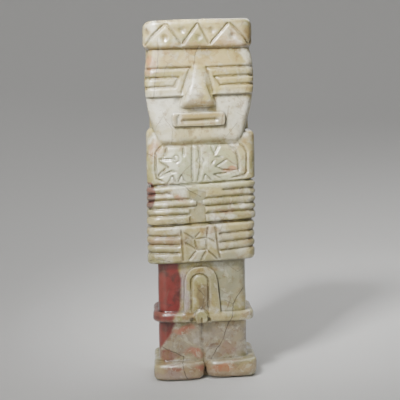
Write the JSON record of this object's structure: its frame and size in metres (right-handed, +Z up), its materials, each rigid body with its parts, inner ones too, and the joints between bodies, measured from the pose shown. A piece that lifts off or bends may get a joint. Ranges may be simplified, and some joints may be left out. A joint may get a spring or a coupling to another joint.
{
  "type": "stone effigy statue",
  "caption": "Standing block-like effigy carved from one banded stone: zigzag headband, mask face, breast panel, barred hands and belt, kilt with knotted loincloth, legs and feet.",
  "frame": {"origin": "centre of the footprint on the ground", "axes": "+Z up from soles to headband, -Y out of the face, +X to the viewer's right when facing it"},
  "size_m": [0.0914, 0.0666, 0.2895],
  "materials": {
    "banded_stone": "polished, cream to olive grey with a red band and dark veins"
  },
  "bodies": {
    "root": {"carved_stone_figure": "banded_stone"}
  },
  "joints": []
}
